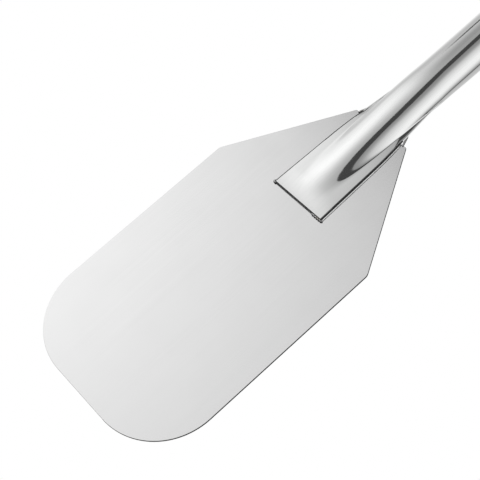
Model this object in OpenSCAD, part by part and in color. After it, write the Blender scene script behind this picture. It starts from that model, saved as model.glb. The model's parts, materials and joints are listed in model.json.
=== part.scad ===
// Stainless steel peel: a flat sheet blade with a tube handle.
// The tube's front end is pressed flat and lapped on top of the blade, then welded.
// Origin: centre of the blade's underside. +X runs up the handle, +Z is the side that carries the food.
// All sizes are in millimetres.

/* [Blade] */
// Width of the blade across its straight sides
blade_w = 120; // [100:1:160]
// Length of the blade from its front edge to its rear edge
blade_l = 220; // [200:1:260]
// Thickness of the blade sheet
sheet_t = 1.2; // [0.8:0.1:2]
// Radius of the two front corners
front_corner_r = 40; // [20:1:50]
// Distance from the front edge to the shoulders, where the sides start to taper
shoulder_from_front = 150; // [130:1:150]
// Width that the taper leaves at the rear edge
rear_edge_w = 39; // [38:1:60]
// Radius that softens each shoulder
shoulder_r = 6; // [2:1:10]

/* [Handle tube] */
// Length of the whole peel, from the front edge to the end of the cap
overall_l = 610; // [500:1:1200]
// Outer diameter of the tube
tube_d = 25.4; // [24:0.1:28]
// Wall of the tube
tube_wall = 1; // [0.8:0.1:1.2]

/* [Flattened end] */
// How far the flattened end laps over the blade
lap_l = 64; // [50:1:70]
// Width of the flattened end at its square front
tab_w = 37.4; // [34:0.1:38]
// How much the flattened end narrows for each millimetre up the handle
tab_narrowing = 0.055; // [0.03:0.005:0.08]
// Distance from the blade's rear edge to where the tube is fully round
round_from_edge = 98; // [80:1:120]
// Distance behind the tab's front where the walls start to part
toe_from_tab = 2; // [1:0.5:6]
// Half width of the raised ridge where it starts
toe_half_w = 12.4; // [10:0.2:13]
// Half width of the raised ridge behind the blade, at its widest
ridge_half_w = 13; // [12.8:0.1:13.6]
// How far the flange's top rounds over towards its edge, behind the blade
lens_l = 7.5; // [3:0.5:8]

/* [Welds] */
// Radius of the weld beads at the lap's corners
bead_r = 1.2; // [0.8:0.1:1.6]
// Diameter of the plug welds under the lap
plug_d = 6; // [4:0.5:8]
// Number of plug welds in the row under the lap
plug_count = 3; // [2:1:4]

/* [Far end] */
// Diameter of the hanging hole
hang_hole_d = 8; // [6:0.5:10]
// Distance from the end of the cap to the middle of the hanging hole
hang_hole_from_end = 28; // [24:1:60]
// Height of the cap's dome
dome_h = 2.4; // [1:0.2:4]

/* [Hidden] */

front_x = -blade_l / 2;
rear_x = blade_l / 2;
end_x = front_x + overall_l;
shoulder_x = front_x + shoulder_from_front;

tube_r = tube_d / 2;
bore_r = tube_r - tube_wall;
axis_z = sheet_t;
tab_x = rear_x - lap_l;
toe_x = tab_x + toe_from_tab;
round_x = rear_x + round_from_edge;
// The flange draws in from here, ahead of the blade's rear edge, to the tube's own width
draw_in_x = rear_x - 21.5;
drawn_in_x = rear_x + 49;
// The side folds open into a lens between these two places
lens_x = rear_x - 5.5;
open_x = rear_x + 8;
// The ridge's flanks are as steep as an oval's from here on
oval_x = rear_x + 30;
// The middle of the section has come down to the tube's axis here
level_x = rear_x + 80;
// The underside starts to leave the blade's plane just behind the rear edge
belly_x = rear_x + 2;

// The faceted end stops inside the wall of the straight tube, so the two join as one solid
sink = 0.02;
seat = 0.05;
overlap = 2;
join_k = 4;
side_steps = 24;
ring_step = 4;

cap_rim = 1.2;
cap_weld_w = 1.6;
spigot_l = 6;
spigot_gap = 0.1;
tube_end_x = end_x - dome_h - cap_rim - cap_weld_w;

steel = "silver";
weld_steel = "darkgray";

function clamp01(v) = min(1, max(0, v));
function ease(v) = let (c = clamp01(v)) c * c * (3 - 2 * c);
function rise(v, power) = 1 - (1 - clamp01(v)) ^ power;
function mix(a, b, u) = a + (b - a) * u;

// Outline points of an arc from angle a0 to a1 in n steps
function arc(cx, cy, r, a0, a1, n) =
    [for (i = [0:n]) let (a = mix(a0, a1, i / n)) [cx + r * cos(a), cy + r * sin(a)]];

// ---------- Sections of the flattened end, as functions of the distance x along the handle ----------

// Half width over the flanges
function half_w(x) = mix(tab_w / 2 - tab_narrowing / 2 * (x - tab_x), tube_r - sink,
    ease((x - draw_in_x) / (drawn_in_x - draw_in_x)));
// Half width of the ridge that rises between the flanges
function ridge_w(x) = min(half_w(x), mix(
    mix(toe_half_w, ridge_half_w, sin(90 * clamp01((x - toe_x) / (rear_x + 24.5 - toe_x))) ^ 0.42),
    tube_r - sink, ease((x - rear_x - 24.5) / (round_x - rear_x - 24.5))));
// Height of the ridge above the section's middle, and the depth of the belly below it
function ridge_top(x) = (tube_r - sink) * rise((x - toe_x) / (round_x - toe_x), 1.6);
function belly_low(x) = (tube_r - sink) * rise((x - belly_x) / (round_x - belly_x), 3.2);
// Steepness of the ridge's flanks: a bell over the toe, an oval once it is 0.5
function flank(x) = mix(1.35, 0.5, ease((x - toe_x) / (oval_x - toe_x)));
// Height of the section's middle
function mid_z(x) = mix(sheet_t + tube_wall, axis_z, ease((x - open_x) / (level_x - open_x)));

// Half thickness of the two pressed walls, which fades out as the tube gets round
function pressed(x) = tube_wall * (1 - ease((x - oval_x) / (round_x - oval_x)));
// Length over which the pressed walls round off at each side
function lens(x) = mix(tube_wall, lens_l, ease((x - lens_x) / (open_x - lens_x)));
// The pressed walls' half thickness at y, rounded off at each side
function fold(x, y) = let (d = max(0, abs(y) - half_w(x) + lens(x)) / lens(x))
    pressed(x) * sqrt(max(0, 1 - d ^ 2));
// Shape of a ridge across the tube: 1 at its middle and 0 at its half width
function crest(y, half, steep) = max(0, 1 - (abs(y) / half) ^ 2) ^ steep;
// Ridge and pressed walls joined with a fillet between them
function joined(f, o) = (f ^ join_k + o ^ join_k) ^ (1 / join_k);

// One closed ring of the outside: over the top from right to left, then back underneath
function outer_ring(x) = concat(
    [for (i = [0:side_steps - 1]) let (y = -half_w(x) * cos(180 * i / side_steps))
        [x, y, mid_z(x) + joined(fold(x, y), ridge_top(x) * crest(y, ridge_w(x), flank(x)))]],
    [for (i = [0:side_steps - 1]) let (y = half_w(x) * cos(180 * i / side_steps))
        [x, y, mid_z(x) - joined(fold(x, y), belly_low(x) * crest(y, ridge_w(x), 0.5))]]);

// Height of the hollow under a ridge of height b: nothing until the walls have parted
function hollow_h(x, b) = max(0.02, joined(pressed(x), b) - tube_wall + (seat + sink) * b / tube_r);
function hollow_w(x) = ridge_w(x) - tube_wall + (seat + sink) * ease((x - oval_x) / (round_x - oval_x));
function inner_ring(x) = let (w = hollow_w(x)) concat(
    [for (i = [0:side_steps - 1]) let (y = -w * cos(180 * i / side_steps))
        [x, y, mid_z(x) + hollow_h(x, ridge_top(x)) * crest(y, w, flank(x))]],
    [for (i = [0:side_steps - 1]) let (y = w * cos(180 * i / side_steps))
        [x, y, mid_z(x) - hollow_h(x, belly_low(x)) * crest(y, w, 0.5)]]);

// Places of the rings: every few millimetres from x0 to x1
function places(x0, x1) = let (n = ceil((x1 - x0) / ring_step)) [for (i = [0:n]) mix(x0, x1, i / n)];

// Two triangles for each cell between neighbouring rings; turn = true faces the other way
function skin(first, rings, n, turn) = [for (k = [0:rings - 2], i = [0:n - 1])
    let (a = first + k * n + i, b = first + k * n + (i + 1) % n, c = a + n, d = b + n)
    each turn ? [[a, c, b], [b, c, d]] : [[a, b, c], [b, d, c]]];

module flattened_end() {
    n = 2 * side_steps;
    outer_x = places(tab_x, round_x);
    inner_x = places(toe_x + 5 * ring_step, round_x);
    points = [for (x = outer_x) each outer_ring(x), for (x = inner_x) each inner_ring(x)];
    inner = len(outer_x) * n;
    last_out = inner - n;
    last_in = inner + (len(inner_x) - 1) * n;
    tab_face = [[for (i = [0:n - 1]) n - 1 - i]];
    blind_face = [[for (i = [0:n - 1]) inner + i]];
    end_faces = [for (i = [0:n - 1]) let (j = (i + 1) % n)
        each [[last_out + i, last_out + j, last_in + i], [last_out + j, last_in + j, last_in + i]]];
    polyhedron(points, concat(tab_face, skin(0, len(outer_x), n, false), end_faces,
        skin(inner, len(inner_x), n, true), blind_face), convexity = 8);
}

// A rod along X from x0 to x1 on the tube's axis
module rod(x0, x1, r) {
    translate([x0, 0, axis_z]) rotate([0, 90, 0]) cylinder(h = x1 - x0, r = r, $fn = 96);
}

// ---------- Pieces ----------

module blade_outline() {
    half = blade_w / 2;
    rear_half = rear_edge_w / 2;
    taper = atan2(half - rear_half, rear_x - shoulder_x);
    // Centre of the shoulder's arc, tangent to the straight side and to the taper
    shoulder_cx = shoulder_x - shoulder_r * tan(taper / 2);
    front_cx = front_x + front_corner_r;
    right = concat(
        arc(front_cx, front_corner_r - half, front_corner_r, 180, 270, 24),
        arc(shoulder_cx, shoulder_r - half, shoulder_r, 270, 270 + taper, 5),
        [[rear_x, -rear_half]]);
    left = [for (i = [len(right) - 1:-1:0]) [right[i][0], -right[i][1]]];
    polygon(concat(right, left));
}

function plug_x(i) = mix(tab_x + 12, rear_x - 12, i / (plug_count - 1));

module blade() {
    color(steel) difference() {
        linear_extrude(sheet_t) blade_outline();
        for (i = [0:plug_count - 1])
            translate([plug_x(i), 0, -1]) cylinder(h = sheet_t + 2, d = plug_d, $fn = 48);
    }
}

module handle_tube() {
    color(steel) difference() {
        union() {
            flattened_end();
            difference() {
                rod(round_x - overlap, tube_end_x, tube_r);
                rod(round_x - overlap - 1, tube_end_x + 1, bore_r);
            }
        }
        translate([end_x - hang_hole_from_end, 0, axis_z - tube_r - 1])
            cylinder(h = tube_d + 2, d = hang_hole_d, $fn = 48);
    }
}

// A run of weld drops from p to q, cut off flat where it meets the blade's top
module bead(p, q, drops) {
    difference() {
        for (i = [0:drops - 1])
            translate(p + (q - p) * i / (drops - 1)) sphere(r = bead_r, $fn = 32);
        translate([0, 0, sheet_t - 10]) cube([2 * blade_l, blade_w, 20], center = true);
    }
}

// The block of space that the lapped tab fills at its front
module tab_block() {
    translate([tab_x, -tab_w / 2, sheet_t]) cube([lap_l, tab_w, 2 * tube_wall]);
}

module tack_front_left() {
    corner = [tab_x, tab_w / 2, sheet_t + 0.3];
    color(weld_steel) difference() {
        bead(corner + [-0.3, -1.2, 0], corner + [-0.1, 0.2, 0], 2);
        tab_block();
    }
}

module tack_front_right() {
    corner = [tab_x - 0.2, -tab_w / 2, sheet_t + 0.3];
    color(weld_steel) difference() {
        bead(corner, corner + [0, 7.6, 0], 6);
        tab_block();
    }
}

// Bead that runs off the blade's rear corner and up along the edge of one flange
module rear_tack(side) {
    y = side * (half_w(rear_x) + 2);
    lean = side * 20;
    translate([rear_x - 0.6, y, sheet_t]) rotate([0, 90, -lean]) {
        sphere(r = bead_r, $fn = 32);
        cylinder(h = 6.2, r = bead_r, $fn = 32);
        translate([0, 0, 6.2]) sphere(r = bead_r, $fn = 32);
    }
}

module tack_rear_left() { color(weld_steel) rear_tack(1); }

module tack_rear_right() { color(weld_steel) rear_tack(-1); }

// Fillet on the underside, between the blade's rear edge and the underside of the tube
module rear_edge_weld() {
    w = 2 * (half_w(rear_x) - lens(rear_x)) + 2;
    color(weld_steel) translate([rear_x, w / 2, sheet_t]) rotate([90, 0, 0]) difference() {
        translate([0, -sheet_t, 0]) cube([sheet_t, sheet_t, w]);
        translate([sheet_t * 1.6, -sheet_t * 1.6, -1]) cylinder(h = w + 2, r = sheet_t, $fn = 48);
    }
}

module plug_welds() {
    crown = 0.3;
    crown_r = ((plug_d / 2) ^ 2 + crown ^ 2) / (2 * crown);
    color(weld_steel) for (i = [0:plug_count - 1]) translate([plug_x(i), 0, 0]) {
        cylinder(h = sheet_t, d = plug_d, $fn = 48);
        intersection() {
            translate([0, 0, crown_r - crown]) sphere(r = crown_r, $fn = 96);
            translate([0, 0, -crown - 1]) cylinder(h = crown + 1.5, d = plug_d, $fn = 48);
        }
    }
}

// Pressed cap: a spigot inside the tube, a rim as wide as the tube and a shallow dome
module end_cap() {
    dome_r = (tube_r ^ 2 + dome_h ^ 2) / (2 * dome_h);
    rim_x = end_x - dome_h - cap_rim;
    spigot_r = bore_r - spigot_gap;
    profile = concat(
        [[0, -cap_weld_w - spigot_l], [spigot_r, -cap_weld_w - spigot_l], [spigot_r, 0], [tube_r, 0]],
        arc(0, cap_rim + dome_h - dome_r, dome_r, acos(tube_r / dome_r), 90, 12));
    color(steel) translate([rim_x, 0, axis_z]) rotate([0, 90, 0])
        rotate_extrude($fn = 96) polygon(profile);
}

module end_cap_weld() {
    color(weld_steel) difference() {
        rod(tube_end_x, tube_end_x + cap_weld_w, tube_r);
        rod(tube_end_x - 1, tube_end_x + cap_weld_w + 1, bore_r);
    }
}

blade();
handle_tube();
tack_front_left();
tack_front_right();
tack_rear_left();
tack_rear_right();
rear_edge_weld();
plug_welds();
end_cap();
end_cap_weld();
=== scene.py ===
"""A stainless steel peel: a flat sheet blade with a tube handle whose front end is
pressed flat, lapped on top of the blade and welded there.

Sizes in the sections are in millimetres; surface_piece() turns them to metres.
"""

import json

import bmesh
import bpy
import numpy as np
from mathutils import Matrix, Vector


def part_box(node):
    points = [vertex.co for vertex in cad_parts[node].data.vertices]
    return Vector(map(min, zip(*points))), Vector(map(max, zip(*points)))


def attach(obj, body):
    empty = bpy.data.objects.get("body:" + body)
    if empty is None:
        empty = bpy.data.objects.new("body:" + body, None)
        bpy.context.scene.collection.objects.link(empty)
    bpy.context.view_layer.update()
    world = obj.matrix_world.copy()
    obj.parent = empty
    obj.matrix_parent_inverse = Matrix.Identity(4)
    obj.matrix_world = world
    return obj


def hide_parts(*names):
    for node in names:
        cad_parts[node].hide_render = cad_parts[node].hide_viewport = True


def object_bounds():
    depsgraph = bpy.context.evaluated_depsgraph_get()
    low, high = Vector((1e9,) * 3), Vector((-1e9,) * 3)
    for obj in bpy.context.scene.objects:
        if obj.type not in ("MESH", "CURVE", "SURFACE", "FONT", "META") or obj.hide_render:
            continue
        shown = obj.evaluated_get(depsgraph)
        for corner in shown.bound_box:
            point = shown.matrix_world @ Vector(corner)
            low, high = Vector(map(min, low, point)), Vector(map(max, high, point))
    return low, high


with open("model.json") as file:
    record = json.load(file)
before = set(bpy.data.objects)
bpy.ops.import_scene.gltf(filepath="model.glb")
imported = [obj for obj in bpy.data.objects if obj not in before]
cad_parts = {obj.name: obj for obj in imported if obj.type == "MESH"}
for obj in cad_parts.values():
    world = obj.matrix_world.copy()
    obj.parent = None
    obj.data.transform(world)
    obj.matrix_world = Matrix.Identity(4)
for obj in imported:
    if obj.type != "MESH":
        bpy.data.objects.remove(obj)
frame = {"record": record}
cad_low, cad_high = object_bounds()

# ---------------------------------------------------------------------------
# Blade. One flat sheet of bright annealed stainless steel, 1.2 mm thick, cut to
# its outline with two big front corners and tapered shoulders. The cut edge is
# lightly tumbled, so it is rounded a little and duller than the faces; its colour is painted dark as
# shade.

MM = 0.001
blade_low, blade_high = (np.array(corner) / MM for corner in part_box("blade"))
front_x, rear_x = blade_low[0], blade_high[0]
blade_half_w = blade_high[1]
sheet_t = blade_high[2]

front_corner_r = 40.0
shoulder_x = front_x + 150.0
shoulder_r = 6.0
rear_half_w = 19.5
rear_corner_r = 1.2
edge_round = 0.22
edge_band = 1.2
spine_from_front, spine_from_rear = 45.0, 16.0


def srgb(hex_colour):
    """Linear RGBA of an sRGB hex colour: the standard power curve with its linear foot."""
    coded = np.array([int(hex_colour[i:i + 2], 16) for i in (1, 3, 5)]) / 255
    linear = np.where(coded <= 0.04045, coded / 12.92, ((coded + 0.055) / 1.055) ** 2.4)
    return (*linear, 1.0)


def add_node(tree, kind, inputs=None, **settings):
    """Adds a node with its settings. Each input is a socket to link or a value to set."""
    made = tree.nodes.new(kind)
    for name, value in settings.items():
        setattr(made, name, value)
    for key, value in (inputs or {}).items():
        if isinstance(value, bpy.types.NodeSocket):
            tree.links.new(value, made.inputs[key])
        else:
            made.inputs[key].default_value = value
    return made


def new_material(name):
    """An empty node material and its tree."""
    material = bpy.data.materials.new(name)
    material.use_nodes = True
    material.node_tree.nodes.clear()
    return material, material.node_tree


def surface_piece(name, sheets, materials, weld=0.0005, pick=None):
    """One closed mesh from grids of points [row, column, xyz] in mm. Neighbouring points
    of a grid are joined as quads, points that fall together are merged, and the normals
    are turned outwards. A sheet may come with a mask of the cells to keep, and pick gives
    each face its material from the face's centre and normal."""
    points, quads, first = [], [], 0
    for sheet in sheets:
        grid, keep = sheet if isinstance(sheet, tuple) else (sheet, None)
        rows, columns = grid.shape[:2]
        index = first + np.arange(rows * columns).reshape(rows, columns)
        cells = np.stack([index[:-1, :-1], index[:-1, 1:], index[1:, 1:], index[1:, :-1]], -1)
        quads.append(cells.reshape(-1, 4) if keep is None else cells[keep])
        points.append(grid.reshape(-1, 3))
        first += rows * columns
    mesh = bpy.data.meshes.new(name)
    mesh.from_pydata(np.concatenate(points) * MM, [], np.concatenate(quads).tolist())
    shape = bmesh.new()
    shape.from_mesh(mesh)
    bmesh.ops.remove_doubles(shape, verts=shape.verts, dist=weld * MM)
    bmesh.ops.dissolve_degenerate(shape, edges=shape.edges, dist=weld * MM / 10)
    bmesh.ops.recalc_face_normals(shape, faces=shape.faces)
    shape.to_mesh(mesh)
    shape.free()
    mesh.polygons.foreach_set("use_smooth", np.ones(len(mesh.polygons), bool))
    for material in materials:
        mesh.materials.append(material)
    if pick is not None:
        centre = np.empty(len(mesh.polygons) * 3)
        normal = np.empty(len(mesh.polygons) * 3)
        mesh.polygons.foreach_get("center", centre)
        mesh.polygons.foreach_get("normal", normal)
        chosen = pick(centre.reshape(-1, 3) / MM, normal.reshape(-1, 3))
        mesh.polygons.foreach_set("material_index", chosen.astype(np.int32))
    mesh.update()
    piece = bpy.data.objects.new(name, mesh)
    bpy.context.scene.collection.objects.link(piece)
    return piece


def rounded_outline(corners, radii, arc_points, side_points):
    """Closed outline of straight sides joined by tangent arcs, with its outward normals.
    An arc starts radius * tan(half the turn) before its corner and turns evenly."""
    corners = np.array(corners, float)
    into = corners - np.roll(corners, 1, axis=0)
    into /= np.linalg.norm(into, axis=1)[:, None]
    out = np.roll(into, -1, axis=0)
    turn = np.arctan2(into[:, 0] * out[:, 1] - into[:, 1] * out[:, 0], (into * out).sum(1))
    radii = np.array(radii, float)
    inward = np.stack([-into[:, 1], into[:, 0]], 1)
    start = corners - into * (radii * np.tan(turn / 2))[:, None]
    centre = start + inward * radii[:, None]
    first_angle = np.arctan2(-inward[:, 1], -inward[:, 0])
    angle = first_angle[:, None] + turn[:, None] * np.linspace(0, 1, arc_points)
    arc_normal = np.stack([np.cos(angle), np.sin(angle)], -1)
    arc = centre[:, None] + radii[:, None, None] * arc_normal
    share = np.linspace(0, 1, side_points + 2)[1:-1, None]
    side = arc[:, None, -1] + (np.roll(arc[:, 0], -1, axis=0) - arc[:, -1])[:, None] * share
    side_normal = np.repeat(arc_normal[:, None, -1], side_points, axis=1)
    points = np.concatenate([arc, side], 1).reshape(-1, 2)
    normals = np.concatenate([arc_normal, side_normal], 1).reshape(-1, 2)
    return np.vstack([points, points[:1]]), np.vstack([normals, normals[:1]])


def sheet_skin(outline, normals, spine, thickness, rounding):
    """Skin of a flat sheet: the outline moved inwards by the profile's inset at the profile's
    height, over the top, round the edge and back underneath, closed on a middle line."""
    quarter = np.linspace(0, np.pi / 2, 7)
    inset = np.concatenate([[edge_band, rounding + 0.05], rounding * (1 - np.sin(quarter))])
    height = np.concatenate([[thickness] * 2, thickness - rounding * (1 - np.cos(quarter))])
    inset = np.concatenate([inset, inset[::-1]])
    height = np.concatenate([height, thickness - height[::-1]])
    rings = outline[None] - inset[:, None, None] * normals[None]
    fade = np.linspace(0, 1, 9)[:-1, None, None]
    top = spine[None] * (1 - fade) + rings[0] * fade
    flat = np.concatenate([top, rings, top[::-1]])
    level = np.concatenate([[thickness] * len(top), height, [0.0] * len(top)])
    return np.concatenate([flat, np.broadcast_to(level[:, None, None], (*flat.shape[:2], 1))], -1)


blade_corners = [
    (front_x, blade_half_w), (front_x, -blade_half_w), (shoulder_x, -blade_half_w),
    (rear_x, -rear_half_w), (rear_x, rear_half_w), (shoulder_x, blade_half_w),
]
blade_radii = [front_corner_r, front_corner_r, shoulder_r, rear_corner_r, rear_corner_r, shoulder_r]
outline, outline_normals = rounded_outline(blade_corners, blade_radii, arc_points=33, side_points=24)
spine_x = np.clip(outline[:, 0], front_x + spine_from_front, rear_x - spine_from_rear)
spine = np.stack([spine_x, 0 * spine_x], 1)

# Bright annealed stainless sheet, cold rolled: near mirror, with faint lines along the rolling
# direction and a slightly milky bloom, which soften what it reflects.
blade_steel, tree = new_material("bright_annealed_stainless_sheet")
place = add_node(tree, "ShaderNodeTexCoord")
# rolling lines 0.7 mm apart and 150 mm long, along the handle's direction
along = add_node(tree, "ShaderNodeMapping", {
    "Vector": place.outputs["Object"], "Scale": (7, 1400, 1400)})
lines = add_node(tree, "ShaderNodeTexNoise", {
    "Vector": along.outputs[0], "Scale": 1.0, "Detail": 4.0, "Roughness": 0.6})
# bloom: soft patches 25 mm across
bloom = add_node(tree, "ShaderNodeTexNoise", {
    "Vector": place.outputs["Object"], "Scale": 40.0, "Detail": 2.0, "Roughness": 0.5})
line_colour = add_node(tree, "ShaderNodeMix", {
    0: lines.outputs["Fac"], 6: srgb("#EEEEEE"), 7: srgb("#F4F4F4")}, data_type="RGBA")
rough = add_node(tree, "ShaderNodeMapRange", {
    "Value": bloom.outputs["Fac"], "From Min": 0.3, "From Max": 0.7, "To Min": 0.13, "To Max": 0.18})
dents = add_node(tree, "ShaderNodeBump", {
    "Height": lines.outputs["Fac"], "Strength": 0.05, "Distance": 0.00004})
steel = add_node(tree, "ShaderNodeBsdfPrincipled", {
    "Base Color": line_colour.outputs[2], "Metallic": 1.0,
    "Roughness": rough.outputs[0], "Normal": dents.outputs[0]})
add_node(tree, "ShaderNodeOutputMaterial", {"Surface": steel.outputs[0]})

# The cut edge has a dull skin, painted almost black as shade, with fine shear marks 0.4 mm apart.
# Its painted darkness is a choice of look: nothing shows that a real edge is finished like this.
edge_shade_steel, tree = new_material("stainless_edge_painted_dark_shade")
place = add_node(tree, "ShaderNodeTexCoord")
marks = add_node(tree, "ShaderNodeTexNoise", {
    "Vector": place.outputs["Object"], "Scale": 2500.0, "Detail": 2.0, "Roughness": 0.6})
shade_mark_colour = add_node(tree, "ShaderNodeMix", {
    0: marks.outputs["Fac"], 6: srgb("#101010"), 7: srgb("#2C2C2C")}, data_type="RGBA")
shear = add_node(tree, "ShaderNodeBump", {
    "Height": marks.outputs["Fac"], "Strength": 0.4, "Distance": 0.00005})
steel = add_node(tree, "ShaderNodeBsdfPrincipled", {
    "Base Color": shade_mark_colour.outputs[2], "Specular IOR Level": 0.2, "Roughness": 0.5,
    "Normal": shear.outputs[0]})
add_node(tree, "ShaderNodeOutputMaterial", {"Surface": steel.outputs[0]})


def blade_edge_shade_pick(centre, normal):
    """0 for the bright faces, 1 for the cut edge, painted dark as shade. The painted shade reaches
    further round the edge on the right side than on the left."""
    reach = np.where(normal[:, 1] < 0, 0.98, 0.5)
    return np.abs(normal[:, 2]) < reach


blade_skin = sheet_skin(outline, outline_normals, spine, sheet_t, edge_round)
blade = surface_piece("blade_sheet", [blade_skin], [blade_steel, edge_shade_steel], pick=blade_edge_shade_pick)
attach(blade, "root")
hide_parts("blade")

# ---------------------------------------------------------------------------
# Handle. One welded stainless tube, 25.4 mm across with a 1 mm wall. Its front end
# was pressed flat in a die, so that a ridge rises out of a flat tab and turns into
# the round tube. The tube is polished along its length. A hanging hole goes through
# both walls near the far end.

tube_low, tube_high = (np.array(corner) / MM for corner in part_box("handle_tube"))
axis_z = (tube_high[2] + tube_low[2]) / 2
tube_r = (tube_high[2] - tube_low[2]) / 2
tab_x, tube_end_x = tube_low[0], tube_high[0]
tube_wall = 1.0
tab_half_w, tab_narrowing = 18.7, 0.0275
tab_edge_round = 0.25
# depth of the band at the tab's front that is painted dark as shade
cut_depth = 0.24

# the flat tab: the ridge leaves it at the toe, and its top bows up a little over the first 14 mm
toe_x = tab_x + 2.0
toe_half_w, ridge_half_w, widening_power = 12.4, 13.0, 0.42
bow_height, bow_run = 0.8, 14.0
fillet_k = 3.2

# the change to the round tube, from front to back
draw_in_x, drawn_in_x = rear_x - 21.5, rear_x + 49.0
lens_x, open_x, lens_l = rear_x - 5.5, rear_x + 8.0, 7.5
widest_x = rear_x + 24.5
oval_x, level_x = rear_x + 30.0, rear_x + 80.0
round_x = rear_x + 98.0
toe_steepness, round_steepness = 1.35, 0.5
ridge_power = 1.6
belly_x, belly_power = rear_x + 2.0, 3.2

hanging_hole = next(mount for mount in frame["record"]["mounts"] if mount["name"] == "hanging_hole")
hole_x = hanging_hole["pos_m"][0] / MM
hole_r = hanging_hole["dims"]["r_mm"]
deburr = 0.35
rim_round = 0.25
around = 256


def ease(v):
    """Smooth step from 0 to 1: 3 v squared minus 2 v cubed."""
    c = np.clip(v, 0, 1)
    return c * c * (3 - 2 * c)


def mix(a, b, share):
    """Straight blend from a to b."""
    return a + (b - a) * share


def flange_half_w(x):
    """Half width over the flanges: a slow taper that eases into the tube's radius."""
    drawn_in = ease((x - draw_in_x) / (drawn_in_x - draw_in_x))
    return mix(tab_half_w - tab_narrowing * (x - tab_x), tube_r, drawn_in)


def ridge_w(x):
    """Half width of the ridge: from the toe it widens as a sine to the power 0.42, then settles
    to the tube's radius. It never passes the flanges."""
    way = np.clip((x - toe_x) / (widest_x - toe_x), 0, 1)
    widened = mix(toe_half_w, ridge_half_w, np.sin(np.pi / 2 * way) ** widening_power)
    settled = ease((x - widest_x) / (round_x - widest_x))
    return np.minimum(flange_half_w(x), mix(widened, tube_r, settled))


def swell(x, start, power):
    """Height of a swelling that leaves the flat at start and is the tube's radius at round_x:
    radius * (1 - (1 - share of the way)^power)."""
    return tube_r * (1 - (1 - np.clip((x - start) / (round_x - start), 0, 1)) ** power)


def half_section(x, y, inset, height, steep, bow=0.0):
    """Height of the outside above the section's middle at y. Two parts are joined with a fillet as
    (fold^k + ridge^k)^(1/k): the pressed walls, rounded off at each side and fading out towards the
    round tube, and a ridge height * (1 - |y / half width|^2)^steep. A parabola of height bow, as
    wide as the flanges, is added to both."""
    wall = tube_wall * (1 - ease((x - oval_x) / (round_x - oval_x))) - inset
    lens = mix(tube_wall, lens_l, ease((x - lens_x) / (open_x - lens_x))) - inset
    past = np.maximum(0, np.abs(y) - (flange_half_w(x) - inset - lens)) / lens
    fold = wall * np.sqrt(np.maximum(0, 1 - past ** 2))
    ridge = height * np.maximum(0, 1 - (y / ridge_w(x)) ** 2) ** steep
    joined = (fold ** fillet_k + ridge ** fillet_k) ** (1 / fillet_k)
    return joined + bow * np.maximum(0, 1 - (y / (flange_half_w(x) - inset)) ** 2)


def tube_ring(x, inset=0.0, inner=False):
    """Closed rings round the handle at the places x, one row for each. y is half width times the
    cosine of the angle; z is the section's middle plus or minus the half sections of its two sides.
    The inside follows the ridge and the belly, one wall lower."""
    x, inset = np.broadcast_arrays(np.asarray(x, float)[:, None], np.asarray(inset, float))
    angle = np.linspace(0, 2 * np.pi, around + 1)[None]
    opened = ease((x - open_x) / (level_x - open_x))
    middle = mix(sheet_t + tube_wall, axis_z, opened)
    flank = mix(toe_steepness, round_steepness, ease((x - toe_x) / (oval_x - toe_x)))
    top = np.sin(angle) >= 0
    side = np.where(top, 1.0, -1.0)
    height = np.where(top, swell(x, toe_x, ridge_power), swell(x, belly_x, belly_power))
    steep = np.where(top, flank, round_steepness)
    bow = np.where(top, bow_height * ease((x - tab_x) / bow_run) * (1 - opened), 0.0)
    if inner:
        half = ridge_w(x) - tube_wall
        y = half * np.cos(angle)
        peak = half_section(x, 0 * y, inset, height, steep) - tube_wall
        z = middle + side * peak * np.maximum(0, 1 - np.cos(angle) ** 2) ** steep
    else:
        y = (flange_half_w(x) - inset) * np.cos(angle)
        z = middle + side * half_section(x, y, inset, height, steep, bow)
    return np.stack([np.broadcast_to(x, y.shape), y, z], -1)


def straight_ring(x, radius):
    """Circles round the tube's axis at the places x, one row for each."""
    angle = np.linspace(0, 2 * np.pi, around + 1)[None]
    x = np.asarray(x, float)[:, None] + 0 * angle
    y, z = radius * np.cos(angle) + 0 * x, axis_z + radius * np.sin(angle) + 0 * x
    return np.stack([x, y, z], -1)


def hole_sheet(side, rows_x, turns):
    """Wall round one mouth of the hanging hole, as rows from the outer skin's window to the hole's
    edge, over the deburred edge, through the wall and out to the inner skin's window. A row moves
    each window point straight towards the hole's centre, measured along the unrolled tube."""
    steps = np.linspace(0, 1, 7)[:-1]
    fall = np.linspace(0, np.pi / 2, 5)
    low, high = turns[0], turns[-1]
    x = np.concatenate([rows_x, np.full(len(turns), rows_x[-1])[1:],
                        rows_x[::-1][1:], np.full(len(turns), rows_x[0])[1:]])
    turn = np.concatenate([np.full(len(rows_x), low), turns[1:],
                           np.full(len(rows_x), high)[1:], turns[::-1][1:]])

    def rows_at(radius, mouth, shares):
        along, arc = x - hole_x, radius * turn
        heading = np.arctan2(np.sin(turn) * radius, along)
        edge_along = mouth * np.cos(heading)
        edge_arc = radius * np.arcsin(mouth * np.sin(heading) / radius)
        a = mix(along, edge_along, shares[:, None])
        t = mix(arc, edge_arc, shares[:, None]) / radius
        return np.stack([hole_x + a, radius * np.sin(t), axis_z + side * radius * np.cos(t)], -1)

    rows = [rows_at(tube_r, hole_r + deburr, steps)]
    for angle in fall:
        radius = tube_r - deburr * (1 - np.cos(angle))
        rows.append(rows_at(radius, hole_r + deburr * (1 - np.sin(angle)), np.array([1.0])))
    rows.append(rows_at(tube_r - tube_wall, hole_r, np.array([1.0])))
    rows.append(rows_at(tube_r - tube_wall, hole_r, steps[::-1]))
    return np.concatenate(rows)


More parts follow.
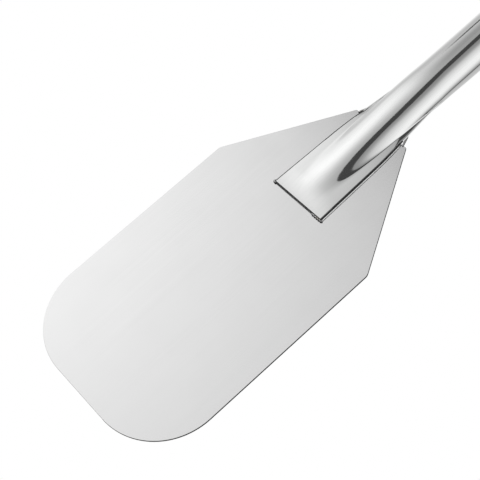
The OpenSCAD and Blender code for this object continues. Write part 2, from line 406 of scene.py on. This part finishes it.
quarter = np.linspace(0, np.pi / 2, 5)
front_x_steps = tab_x + tab_edge_round * (1 - np.cos(quarter))
front_insets = tab_edge_round * (1 - np.sin(quarter))
front_rows = tube_ring(front_x_steps, front_insets[:, None])
skin_rows = tube_ring(np.concatenate([[tab_x + 0.4], np.linspace(tab_x + 1, round_x - 1, 160)]))
window_x = np.linspace(hole_x - 9, hole_x + 9, 19)
before_hole = np.concatenate([[round_x], np.linspace(round_x + 30, hole_x - 32, 6), [hole_x - 16]])
straight_x = np.concatenate([before_hole, window_x, [hole_x + 14, tube_end_x - rim_round]])
outer = np.concatenate([front_rows, skin_rows, straight_ring(straight_x, tube_r),
                        straight_ring([tube_end_x], tube_r - rim_round)])
hollow_x = np.linspace(toe_x + 20, round_x - 4, 40)
inner_straight = straight_ring(np.concatenate([straight_x[:-1], [tube_end_x]]), tube_r - tube_wall)
inner = np.concatenate([tube_ring(hollow_x, inner=True), inner_straight])
blind = inner[:1].copy()
blind[..., 2] = sheet_t + tube_wall

# The mouths of the hole take up a window of cells in each skin.
window_steps = 29
window_turns = np.arange(-window_steps, window_steps + 1) * 2 * np.pi / around


def window_mask(rows, first):
    """True for the cells outside both windows of a skin."""
    keep = np.ones((rows - 1, around), bool)
    for middle in (around // 4, 3 * around // 4):
        keep[first:first + len(window_x) - 1, middle - window_steps:middle + window_steps] = False
    return keep


# The tab's cut front: the two walls touch along a fine slit, which is 0.1 mm wide and 1.5 mm deep.
slit_half_gap, slit_depth = 0.05, 1.5
tab_middle_z = sheet_t + tube_wall
rim = front_rows[:1]
slit = rim.copy()
half_slit = flange_half_w(tab_x) - tube_wall
slit[..., 1] = np.clip(rim[..., 1], -half_slit, half_slit)
slit[..., 2] = tab_middle_z + slit_half_gap * np.sign(np.round(rim[..., 2] - tab_middle_z, 6))
slit_end = slit.copy()
slit_end[..., 0] += slit_depth
slit_end[..., 2] = tab_middle_z
tab_front = np.concatenate([rim, mix(rim, slit, 0.5), slit, slit_end])

outer_first = len(front_rows) + len(skin_rows) + len(before_hole)
inner_first = len(blind) + len(hollow_x) + len(before_hole)
tube_sheets = [
    (outer, window_mask(len(outer), outer_first)),
    (np.concatenate([blind, inner]), window_mask(len(blind) + len(inner), inner_first)),
    np.concatenate([outer[-1:], inner[-1:]]),
    tab_front,
    hole_sheet(1, window_x, window_turns),
    hole_sheet(-1, window_x, window_turns),
]

# Stainless tube polished along its length on a belt, then buffed: a mirror with very fine lines
# along the tube, which streak the reflections a little.
tube_steel, tree = new_material("belt_polished_stainless_tube")
place = add_node(tree, "ShaderNodeTexCoord")
# polishing lines 0.5 mm apart, drawn coarser than the real grit marks so that they show
along = add_node(tree, "ShaderNodeMapping", {
    "Vector": place.outputs["Object"], "Scale": (12, 2000, 2000)})
lines = add_node(tree, "ShaderNodeTexNoise", {
    "Vector": along.outputs[0], "Scale": 1.0, "Detail": 3.0, "Roughness": 0.55})
line_colour = add_node(tree, "ShaderNodeMix", {
    0: lines.outputs["Fac"], 6: srgb("#EBECEC"), 7: srgb("#F8F8F7")}, data_type="RGBA")
rough = add_node(tree, "ShaderNodeMapRange", {
    "Value": lines.outputs["Fac"], "From Min": 0.3, "From Max": 0.7, "To Min": 0.05, "To Max": 0.1})
dents = add_node(tree, "ShaderNodeBump", {
    "Height": lines.outputs["Fac"], "Strength": 0.1, "Distance": 0.00003})
steel = add_node(tree, "ShaderNodeBsdfPrincipled", {
    "Base Color": line_colour.outputs[2], "Metallic": 1.0,
    "Roughness": rough.outputs[0], "Normal": dents.outputs[0]})
add_node(tree, "ShaderNodeOutputMaterial", {"Surface": steel.outputs[0]})

# The tight folds at the tab's sides are painted dark as shade, with a dull skin and small cracks
# 0.3 mm apart. This too is a choice of look.
fold_shade_steel, tree = new_material("stainless_fold_painted_dark_shade")
place = add_node(tree, "ShaderNodeTexCoord")
cracks = add_node(tree, "ShaderNodeTexNoise", {
    "Vector": place.outputs["Object"], "Scale": 3300.0, "Detail": 3.0, "Roughness": 0.6})
shade_crack_colour = add_node(tree, "ShaderNodeMix", {
    0: cracks.outputs["Fac"], 6: srgb("#1C1C1C"), 7: srgb("#3E3E3F")}, data_type="RGBA")
dents = add_node(tree, "ShaderNodeBump", {
    "Height": cracks.outputs["Fac"], "Strength": 0.4, "Distance": 0.00004})
steel = add_node(tree, "ShaderNodeBsdfPrincipled", {
    "Base Color": shade_crack_colour.outputs[2], "Specular IOR Level": 0.25, "Roughness": 0.6,
    "Normal": dents.outputs[0]})
add_node(tree, "ShaderNodeOutputMaterial", {"Surface": steel.outputs[0]})


# width of the side folds' bands painted dark as shade, and where those bands end
fold_w, fold_end_x = tube_wall + 0.1, rear_x + 1.5


def tube_polish_and_shade_pick(centre, normal):
    """0 for polish, 1 for the cut steel at the tab's front and the far rim, 2 for the pressed side
    folds;
    1 and 2 are painted dark as shade. On the left fold the painted shade starts where it starts to
    turn over, on the right one only on its flank."""
    x, y = centre[:, 0], centre[:, 1]
    cut = (x < tab_x + cut_depth) | (np.abs(x - tube_end_x) < 0.01)
    turned_over = (normal[:, 2] < np.where(y > 0, 0.992, 0.9)) & (normal[:, 2] > -0.45)
    folds = turned_over & (np.abs(y) > flange_half_w(x) - fold_w) & (x < fold_end_x)
    return np.where(cut, 1, np.where(folds, 2, 0))


handle = surface_piece(
    "handle_tube_pressed", tube_sheets, [tube_steel, edge_shade_steel, fold_shade_steel], pick=tube_polish_and_shade_pick)
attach(handle, "root")
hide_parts("handle_tube")

# ---------------------------------------------------------------------------
# Corner tacks. Four short beads laid by hand without much dressing: a blob and a
# run of drops at the tab's front corners, and a bead along the start of each flange
# behind the blade's rear corners. The weld metal is greyer, with a fine ripple.

tack_z = sheet_t + 0.3
rear_tack_y = flange_half_w(rear_x) + 2.0
rear_tack_run = 6.8
rear_tack_lean = np.tan(np.radians(20))


def bead(start, end, radius, ripple, pitch, turns=64, rows=72):
    """Rope of weld metal from start to end. Its radius is radius * (1 - |2u - 1|^6)^(1/2), which
    closes both ends, less a ripple that bows backwards round the rope."""
    start, end = np.array(start, float), np.array(end, float)
    length = np.linalg.norm(end - start)
    run = (end - start) / length
    across = np.cross(run, (0, 0, 1.0))
    across /= np.linalg.norm(across)
    lift = np.cross(across, run)
    u = (1 - np.cos(np.linspace(0, np.pi, rows)))[:, None] / 2
    angle = np.linspace(0, 2 * np.pi, turns + 1)[None]
    wave = np.cos(2 * np.pi * (u * length + 0.35 * pitch * np.cos(angle) ** 2) / pitch)
    closing = np.sqrt(np.maximum(0, 1 - np.abs(2 * u - 1) ** 6))
    thick = radius * closing * (1 - ripple * (0.5 - 0.5 * wave))
    sideways = (thick * np.cos(angle))[..., None] * across
    upwards = (thick * np.sin(angle))[..., None] * lift
    return start + u[..., None] * (end - start) + sideways + upwards


def rear_bead(side):
    """A bead along one flange, from the blade's rear corner backwards."""
    start = (rear_x - 0.9, side * (rear_tack_y - 0.6), tack_z - 0.1)
    end = (rear_x + 6.2, side * (rear_tack_y - 0.9 - rear_tack_run * rear_tack_lean), tack_z - 0.2)
    return bead(start, end, radius=0.65, ripple=0.05, pitch=1.3)


# Weld metal as laid: a grey satin skin with bright ripple crests and a trace of straw-coloured
# heat tint.
weld_steel, tree = new_material("as_laid_stainless_weld_metal")
place = add_node(tree, "ShaderNodeTexCoord")
# scale pattern of cooling, 0.6 mm across
grains = add_node(tree, "ShaderNodeTexNoise", {
    "Vector": place.outputs["Object"], "Scale": 1600.0, "Detail": 4.0, "Roughness": 0.65})
tint = add_node(tree, "ShaderNodeTexNoise", {
    "Vector": place.outputs["Object"], "Scale": 260.0, "Detail": 1.0, "Roughness": 0.5})
grey = add_node(tree, "ShaderNodeMix", {
    0: grains.outputs["Fac"], 6: srgb("#A5A5A7"), 7: srgb("#EDEDEC")}, data_type="RGBA")
straw = add_node(tree, "ShaderNodeMapRange", {
    "Value": tint.outputs["Fac"], "From Min": 0.5, "From Max": 0.75, "To Min": 0.0, "To Max": 0.35})
weld_colour = add_node(tree, "ShaderNodeMix", {
    0: straw.outputs[0], 6: grey.outputs[2], 7: srgb("#B9A98A")}, data_type="RGBA")
rough = add_node(tree, "ShaderNodeMapRange", {
    "Value": grains.outputs["Fac"], "From Min": 0.3, "From Max": 0.7, "To Min": 0.24, "To Max": 0.12})
dents = add_node(tree, "ShaderNodeBump", {
    "Height": grains.outputs["Fac"], "Strength": 0.5, "Distance": 0.00006})
steel = add_node(tree, "ShaderNodeBsdfPrincipled", {
    "Base Color": weld_colour.outputs[2], "Metallic": 1.0,
    "Roughness": rough.outputs[0], "Normal": dents.outputs[0]})
add_node(tree, "ShaderNodeOutputMaterial", {"Surface": steel.outputs[0]})

# The same metal low on a bead's flanks, almost black: painted shade where the bead meets the
# steel, together with the oxide that stayed where the brush did not reach; flakes 0.45 mm apart.
weld_toe_oxide_and_shade, tree = new_material("stainless_weld_toe_oxide_and_painted_shade")
place = add_node(tree, "ShaderNodeTexCoord")
flakes = add_node(tree, "ShaderNodeTexNoise", {
    "Vector": place.outputs["Object"], "Scale": 2200.0, "Detail": 3.0, "Roughness": 0.6})
oxide_and_shade_colour = add_node(tree, "ShaderNodeMix", {
    0: flakes.outputs["Fac"], 6: srgb("#161617"), 7: srgb("#48474A")}, data_type="RGBA")
dents = add_node(tree, "ShaderNodeBump", {
    "Height": flakes.outputs["Fac"], "Strength": 0.5, "Distance": 0.00005})
steel = add_node(tree, "ShaderNodeBsdfPrincipled", {
    "Base Color": oxide_and_shade_colour.outputs[2], "Metallic": 1.0, "Roughness": 0.45,
    "Normal": dents.outputs[0]})
add_node(tree, "ShaderNodeOutputMaterial", {"Surface": steel.outputs[0]})

front_left = bead(
    (tab_x - 0.1, tab_half_w - 1.2, tack_z), (tab_x + 0.4, tab_half_w + 1.0, tack_z),
    radius=1.0, ripple=0.1, pitch=0.9)
front_right = bead(
    (tab_x - 0.1, -tab_half_w - 0.9, tack_z), (tab_x - 0.1, -tab_half_w + 7.8, tack_z),
    radius=1.0, ripple=0.26, pitch=1.55)


def tack_shade_pick(centre, normal):
    """0 for the brushed top, 1 for the flanks steeper than about 44 degrees, painted dark as shade
    and oxide.
    """
    return normal[:, 2] < 0.72


for name, grid in (
    ("tack_front_left", front_left), ("tack_front_right", front_right),
    ("tack_rear_left", rear_bead(1)), ("tack_rear_right", rear_bead(-1)),
):
    tack = surface_piece(name + "_bead", [grid], [weld_steel, weld_toe_oxide_and_shade], pick=tack_shade_pick)
    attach(tack, "root")
    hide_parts(name)

# ---------------------------------------------------------------------------
# Rear edge weld. A fillet run along the blade's rear edge, underneath, where the
# edge meets the underside of the flattened tube.

edge_low, edge_high = (np.array(corner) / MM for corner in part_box("rear_edge_weld"))
fillet_leg = sheet_t - 0.06
fillet_pitch = 1.0
fillet_overlap = 0.15


def fillet_weld(x0, y0, y1, leg, pitch, rows=220, steps=24):
    """Fillet along y in the corner under the tube and behind the edge x0. The cross-section is a
    corner with a slightly hollow face between its two legs; the face rises and falls in ripples
    and the legs shrink to nothing at both ends."""
    u = np.linspace(0, 1, rows)[:, None]
    v = np.linspace(0, 1, steps)[None]
    size = leg * (1 - np.abs(2 * u - 1) ** 24) ** 0.5
    y = mix(y0, y1, u) + 0 * v
    bow = 0.18 + 0.05 * np.cos(2 * np.pi * (y + 0.5 * np.sin(np.pi * v)) / pitch)
    dip = size * bow * np.sin(np.pi * v)
    face_x = x0 + size * (1 - v) - dip * 0.7
    face_z = sheet_t - size * v + dip * 0.7
    face = np.stack([face_x, y, face_z], -1)
    root = np.stack([x0 - fillet_overlap + 0 * u, y[:, :1], sheet_t + fillet_overlap + 0 * u], -1)
    foot = np.stack([x0 - fillet_overlap + 0 * u, y[:, :1], sheet_t - size], -1)
    head = np.stack([x0 + size, y[:, :1], sheet_t + fillet_overlap + 0 * u], -1)
    return np.concatenate([root, head, face, foot, root], 1)


fillet = fillet_weld(rear_x, edge_low[1] + 0.2, edge_high[1] - 0.2, fillet_leg, fillet_pitch)
ends = [np.stack([fillet[i], np.broadcast_to(fillet[i].mean(0), fillet[i].shape)]) for i in (0, -1)]
rear_weld = surface_piece("rear_edge_weld_fillet", [fillet, *ends], [weld_steel])
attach(rear_weld, "root")
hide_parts("rear_edge_weld")

# ---------------------------------------------------------------------------
# Plug welds. Three holes through the blade under the tab were filled with weld
# metal from below, which leaves three low crowned buttons with round ripples.

plug_low, plug_high = (np.array(corner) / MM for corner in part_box("plug_welds"))
plug_r = plug_high[1]
plug_places = np.linspace(plug_low[0] + plug_r, plug_high[0] - plug_r, 3)
plug_crown, plug_ripple, plug_ripple_pitch = 0.24, 0.035, 0.8
plug_proud, plug_depth = 0.01, 0.5


def plug_button(x):
    """Button seen from below: a shallow crown with ring ripples, closed by a plug in the sheet.
    Its height is the crown's share 1 - q squared, plus a ripple that fades at the rim."""
    q = np.concatenate([np.linspace(0, 1, 30), [1.0, 0.0]])[:, None]
    angle = np.linspace(0, 2 * np.pi, 73)[None]
    ripple = plug_ripple * np.cos(q * plug_r * 2 * np.pi / plug_ripple_pitch) * (1 - q)
    z = -plug_crown * (1 - q ** 2) - ripple - plug_proud * (q < 1)
    z[-2:] = plug_depth
    return np.stack([x + plug_r * q * np.cos(angle), plug_r * q * np.sin(angle), z + 0 * angle], -1)


plugs = surface_piece("plug_weld_buttons", [plug_button(x) for x in plug_places], [weld_steel])
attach(plugs, "root")
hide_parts("plug_welds")

# ---------------------------------------------------------------------------
# End cap and its weld. A pressed stainless cap with a shallow dome closes the far
# end; its spigot sits inside the tube and a narrow weld, dressed nearly flush, joins them.

cap_low, cap_high = (np.array(corner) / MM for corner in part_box("end_cap"))
seam_low, seam_high = (np.array(corner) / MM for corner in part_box("end_cap_weld"))
cap_dome, cap_rim_round = 2.4, 0.5
spigot_r = 11.6
seam_inner_r, seam_pitch = 11.75, 0.9
seam_crown, seam_dip = 0.12, 0.06


def turned(profile, turns=192):
    """A profile of (x, radius) points carried round the tube's axis, one column for each angle."""
    profile = np.array(profile, float)
    angle = np.linspace(0, 2 * np.pi, turns + 1)[None]
    x, radius = profile[:, :1] + 0 * angle, profile[:, 1:] + 0 * angle
    return np.stack([x, radius * np.cos(angle), axis_z + radius * np.sin(angle)], -1)


def cap_profile(x0, x1, radius, dome, rim_round):
    """Outline of the cap from its spigot's middle to the dome's middle: a straight rim, a quarter
    round of rim_round, and a dome that falls away from its middle as the radius squared."""
    bend = np.linspace(0, np.pi / 2, 9)[1:]
    rim_end = x1 - dome
    q = np.linspace(1, 0, 24)[1:]
    edge_x = rim_end - rim_round + rim_round * np.sin(bend)
    edge = np.stack([edge_x, radius - rim_round * (1 - np.cos(bend))], 1)
    over = np.stack([rim_end + dome * (1 - q ** 2), q * (radius - rim_round)], 1)
    spigot = [
        (x0, 0), (x0, spigot_r - 0.3), (x0 + 0.3, spigot_r), (seam_high[0], spigot_r),
        (seam_high[0], radius - 0.1), (seam_high[0] + 0.1, radius), (rim_end - rim_round, radius),
    ]
    return np.concatenate([spigot, edge, over])


# Stainless sheet pressed to a dome and buffed as it spun: a soft mirror with fine rings.
cap_steel, tree = new_material("pressed_and_buffed_stainless_cap")
place = add_node(tree, "ShaderNodeTexCoord")
# buffing rings about 0.5 mm apart, round the cap's own axis
centred = add_node(tree, "ShaderNodeMapping", {
    "Vector": place.outputs["Object"], "Location": (0, 0, -axis_z * MM)})
parts = add_node(tree, "ShaderNodeSeparateXYZ", {"Vector": centred.outputs[0]})
flat = add_node(tree, "ShaderNodeCombineXYZ", {"Y": parts.outputs["Y"], "Z": parts.outputs["Z"]})
radius = add_node(tree, "ShaderNodeVectorMath", {0: flat.outputs[0]}, operation="LENGTH")
ring = add_node(tree, "ShaderNodeCombineXYZ", {"X": radius.outputs["Value"], "Y": parts.outputs["X"]})
rings = add_node(tree, "ShaderNodeTexNoise", {
    "Vector": ring.outputs[0], "Scale": 2000.0, "Detail": 2.0, "Roughness": 0.5})
ring_colour = add_node(tree, "ShaderNodeMix", {
    0: rings.outputs["Fac"], 6: srgb("#DDDDDB"), 7: srgb("#F1F1F0")}, data_type="RGBA")
rough = add_node(tree, "ShaderNodeMapRange", {
    "Value": rings.outputs["Fac"], "From Min": 0.3, "From Max": 0.7, "To Min": 0.09, "To Max": 0.16})
dents = add_node(tree, "ShaderNodeBump", {
    "Height": rings.outputs["Fac"], "Strength": 0.15, "Distance": 0.00003})
steel = add_node(tree, "ShaderNodeBsdfPrincipled", {
    "Base Color": ring_colour.outputs[2], "Metallic": 1.0,
    "Roughness": rough.outputs[0], "Normal": dents.outputs[0]})
add_node(tree, "ShaderNodeOutputMaterial", {"Surface": steel.outputs[0]})

cap_outline = cap_profile(cap_low[0], cap_high[0], tube_r, cap_dome, cap_rim_round)
cap = surface_piece("end_cap_dome", [turned(cap_outline)], [cap_steel])
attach(cap, "root")
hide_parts("end_cap")


def seam_ring(x0, x1, inner_r, pitch, turns=512):
    """Closed ring of weld between tube and cap. Its face falls off to both sides as a parabola,
    and dips in ripples that bow round the ring."""
    v = np.linspace(0, 1, 13)[:, None]
    angle = np.linspace(0, 2 * np.pi, turns + 1)[None]
    ripples = np.round(2 * np.pi * tube_r / pitch)
    ripple = 0.5 - 0.5 * np.cos(ripples * (angle + 0.04 * np.sin(np.pi * v)))
    face = tube_r - 0.01 - seam_crown * (2 * v - 1) ** 2 - seam_dip * ripple * np.sin(np.pi * v)
    x = mix(x0, x1, v) + 0 * angle
    low = np.full_like(face[:1], inner_r)
    radius = np.concatenate([low, face, low, low])
    x = np.concatenate([x[:1], x, x[-1:], x[:1]])
    return np.stack([x, radius * np.cos(angle), axis_z + radius * np.sin(angle)], -1)


seam_grid = seam_ring(seam_low[0], seam_high[0], seam_inner_r, seam_pitch)
seam = surface_piece("end_cap_weld_seam", [seam_grid], [weld_steel])
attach(seam, "root")
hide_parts("end_cap_weld")

# ---------------------------------------------------------------------------
# Studio. A plain white floor and backdrop, and soft light all round the object:
# a broad glow above the blade, a bright panel on the right and a dark gap between
# them, which is what polished steel needs in order to show its shape. Brightness is
# given from 0 to 255, as the eye sees it, by the direction that the light comes from.
# Its amounts were fitted until the bands on the steel looked right. They measure no real room.

bpy.context.scene.view_settings.view_transform = "Standard"

world = bpy.data.worlds.new("soft_studio")
bpy.context.scene.world = world
world.use_nodes = True
tree = world.node_tree
tree.nodes.clear()
heading = add_node(tree, "ShaderNodeTexCoord")
part = add_node(tree, "ShaderNodeSeparateXYZ", {0: heading.outputs["Generated"]})
side_x, side_y, side_z = part.outputs

# glow: a round soft light, brightest at the direction glow_at, which falls off as
# floor + rise * exp(-distance^2 / (2 spread^2))
glow_at, glow_spread, glow_floor, glow_rise = (0.03, 0.76, 0.0), 0.36, 158.0, 96.0
flat = add_node(tree, "ShaderNodeCombineXYZ", {"X": side_x, "Y": side_y})
distance = add_node(tree, "ShaderNodeVectorMath", {
    0: flat.outputs[0], 1: glow_at}, operation="DISTANCE")
squared = add_node(tree, "ShaderNodeMath", {0: distance.outputs["Value"], 1: 2.0}, operation="POWER")
fall = add_node(tree, "ShaderNodeMath", {
    0: squared.outputs[0], 1: -1 / (2 * glow_spread ** 2)}, operation="MULTIPLY")
glow = add_node(tree, "ShaderNodeMath", {0: fall.outputs[0]}, operation="EXPONENT")
glow = add_node(tree, "ShaderNodeMath", {
    0: glow.outputs[0], 1: glow_rise / 255, 2: glow_floor / 255}, operation="MULTIPLY_ADD")


def fill_ramp(ramp, stops, start):
    """Sets a ramp's stops from pairs of angle in degrees and value from 0 to 255. The ramp covers
    the 180 degrees from start."""
    while len(ramp.elements) < len(stops):
        ramp.elements.new(0.5)
    for element, (angle, value) in zip(ramp.elements, stops):
        element.position = (angle - start) / 180
        element.color = (value / 255, value / 255, value / 255, 1)


# below the horizon on that side lies the pale table
table_level = 195.0
table = add_node(tree, "ShaderNodeMapRange", {
    "Value": side_z, "From Min": -0.1, "From Max": 0.2, "To Min": 0.0, "To Max": 1.0},
    interpolation_type="SMOOTHSTEP")
left_side = add_node(tree, "ShaderNodeMix", {
    "Factor": table.outputs[0], 2: table_level / 255, 3: glow.outputs[0]}, data_type="FLOAT")
# towards the handle's far end the light on that side is uneven, by the angle from the top (0)
# over the left to underneath (180); 128 is no change
sweep = add_node(tree, "ShaderNodeMath", {0: side_y, 1: side_z}, operation="ARCTAN2")
sweep_share = add_node(tree, "ShaderNodeMapRange", {
    "Value": sweep.outputs[0], "From Min": 0.0, "From Max": np.pi, "To Min": 0.0, "To Max": 1.0})
uneven = add_node(tree, "ShaderNodeValToRGB", {"Fac": sweep_share.outputs[0]})
uneven_stops = [(0, 122), (10, 110), (18, 97), (27, 78), (36, 72), (45, 80), (56, 98), (66, 108),
                (79, 102), (90, 112), (104, 126), (120, 150), (132, 158)]
fill_ramp(uneven.color_ramp, uneven_stops, 0.0)
uneven_shift = add_node(tree, "ShaderNodeMath", {
    0: uneven.outputs[0], 1: -128 / 255}, operation="ADD")
far = add_node(tree, "ShaderNodeMapRange", {
    "Value": side_x, "From Min": 0.3, "From Max": 0.42}, interpolation_type="SMOOTHSTEP")
left_side = add_node(tree, "ShaderNodeMath", {
    0: uneven_shift.outputs[0], 1: far.outputs[0], 2: left_side.outputs[0]}, operation="MULTIPLY_ADD")
# further still a dark rail crosses it
rail = add_node(tree, "ShaderNodeValToRGB", {"Fac": sweep_share.outputs[0]})
fill_ramp(rail.color_ramp, [(62, 0), (64.5, 255), (69.5, 255), (72, 0)], 0.0)
farther = add_node(tree, "ShaderNodeMapRange", {
    "Value": side_x, "From Min": 0.41, "From Max": 0.428, "To Min": 0.0, "To Max": -0.6},
    interpolation_type="SMOOTHSTEP")
left_side = add_node(tree, "ShaderNodeMath", {
    0: rail.outputs[0], 1: farther.outputs[0], 2: left_side.outputs[0]}, operation="MULTIPLY_ADD")

# panel: brightness by the angle round the handle's direction, from underneath (-180) over the
# right, with a narrow dark line near -124, to the top (0)
turn_share = add_node(tree, "ShaderNodeMapRange", {
    "Value": sweep.outputs[0], "From Min": -np.pi, "From Max": 0.0, "To Min": 0.0, "To Max": 1.0})
panel = add_node(tree, "ShaderNodeValToRGB", {"Fac": turn_share.outputs[0]})
panel_stops = [
    (-180, 192), (-150, 186), (-134, 178), (-128, 140), (-125.5, 72), (-123, 75), (-120.5, 145),
    (-114, 165), (-108, 190), (-102, 209), (-94, 226), (-85, 236), (-70, 236), (-60, 228),
    (-52, 219), (-44, 207), (-37, 193), (-30, 162), (-24, 141), (-13, 128), (-6, 125),
]
fill_ramp(panel.color_ramp, panel_stops, -180.0)

# the dark gap runs above the handle, along the line y = gap_y + gap_slope * (x - gap_x)
gap_x, gap_y, gap_slope = 0.46, -0.01, 0.603
gap_half, soft = 0.143, 0.014
gap_level = 66.0
line = add_node(tree, "ShaderNodeMath", {
    0: side_x, 1: gap_slope, 2: gap_y - gap_x * gap_slope}, operation="MULTIPLY_ADD")
offset = add_node(tree, "ShaderNodeMath", {0: side_y, 1: line.outputs[0]}, operation="SUBTRACT")
is_left = add_node(tree, "ShaderNodeMapRange", {
    "Value": offset.outputs[0], "From Min": -soft, "From Max": soft},
    interpolation_type="SMOOTHSTEP")
both = add_node(tree, "ShaderNodeMix", {
    "Factor": is_left.outputs[0], 2: panel.outputs[0], 3: left_side.outputs[0]}, data_type="FLOAT")
width = add_node(tree, "ShaderNodeMath", {0: offset.outputs[0]}, operation="ABSOLUTE")
in_gap = add_node(tree, "ShaderNodeMapRange", {
    "Value": width.outputs[0], "From Min": gap_half - soft, "From Max": gap_half + soft,
    "To Min": 1.0, "To Max": 0.0}, interpolation_type="SMOOTHSTEP")
above = add_node(tree, "ShaderNodeMapRange", {
    "Value": side_z, "From Min": 0.0, "From Max": 0.15})
in_gap = add_node(tree, "ShaderNodeMath", {
    0: in_gap.outputs[0], 1: above.outputs[0]}, operation="MULTIPLY")
room = add_node(tree, "ShaderNodeMix", {
    "Factor": in_gap.outputs[0], 2: both.outputs[0], 3: gap_level / 255}, data_type="FLOAT")
# the power curve makes the eye's values into light; what looks straight out sees plain white
room = add_node(tree, "ShaderNodeMath", {0: room.outputs[0], 1: 2.22}, operation="POWER")
lit = add_node(tree, "ShaderNodeBackground", {"Color": room.outputs[0], "Strength": 1.17})
white = add_node(tree, "ShaderNodeBackground", {"Color": (1, 1, 1, 1), "Strength": 1.0})
ray = add_node(tree, "ShaderNodeLightPath")
shown = add_node(tree, "ShaderNodeMixShader", {
    0: ray.outputs["Is Camera Ray"], 1: lit.outputs[0], 2: white.outputs[0]})
add_node(tree, "ShaderNodeOutputWorld", {"Surface": shown.outputs[0]})

# Floor: a plain white light table under the object. Its underside is clear, so that it never hides
# the object from below.
floor_drop, floor_half = 0.5, 4000.0
floor_paint, tree = new_material("white_light_table")
floor_light = add_node(tree, "ShaderNodeEmission", {"Color": (1, 1, 1, 1), "Strength": 1.0})
clear = add_node(tree, "ShaderNodeBsdfTransparent")
facing = add_node(tree, "ShaderNodeNewGeometry")
shown = add_node(tree, "ShaderNodeMixShader", {
    0: facing.outputs["Backfacing"], 1: floor_light.outputs[0], 2: clear.outputs[0]})
add_node(tree, "ShaderNodeOutputMaterial", {"Surface": shown.outputs[0]})
floor_mesh = bpy.data.meshes.new("floor")
floor_z = cad_low[2] - floor_drop * MM
floor_corners = [(x * floor_half * MM, y * floor_half * MM, floor_z)
                 for x, y in ((-1, -1), (1, -1), (1, 1), (-1, 1))]
floor_mesh.from_pydata(floor_corners, [], [(0, 1, 2, 3)])
floor_mesh.materials.append(floor_paint)
floor = bpy.data.objects.new("floor", floor_mesh)
bpy.context.scene.collection.objects.link(floor)
floor.visible_glossy = False
floor.visible_diffuse = False

# Camera: above the blade's front right, looking down along the handle's start.
camera_data = bpy.data.cameras.new("camera")
camera_data.lens = 84.25
camera_data.sensor_width = 36.0
camera = bpy.data.objects.new("camera", camera_data)
camera.location = (-0.11619, -0.28120, 0.52387)
camera.rotation_euler = np.radians((29.218, 10.498, -41.46))
bpy.context.scene.collection.objects.link(camera)
bpy.context.scene.camera = camera
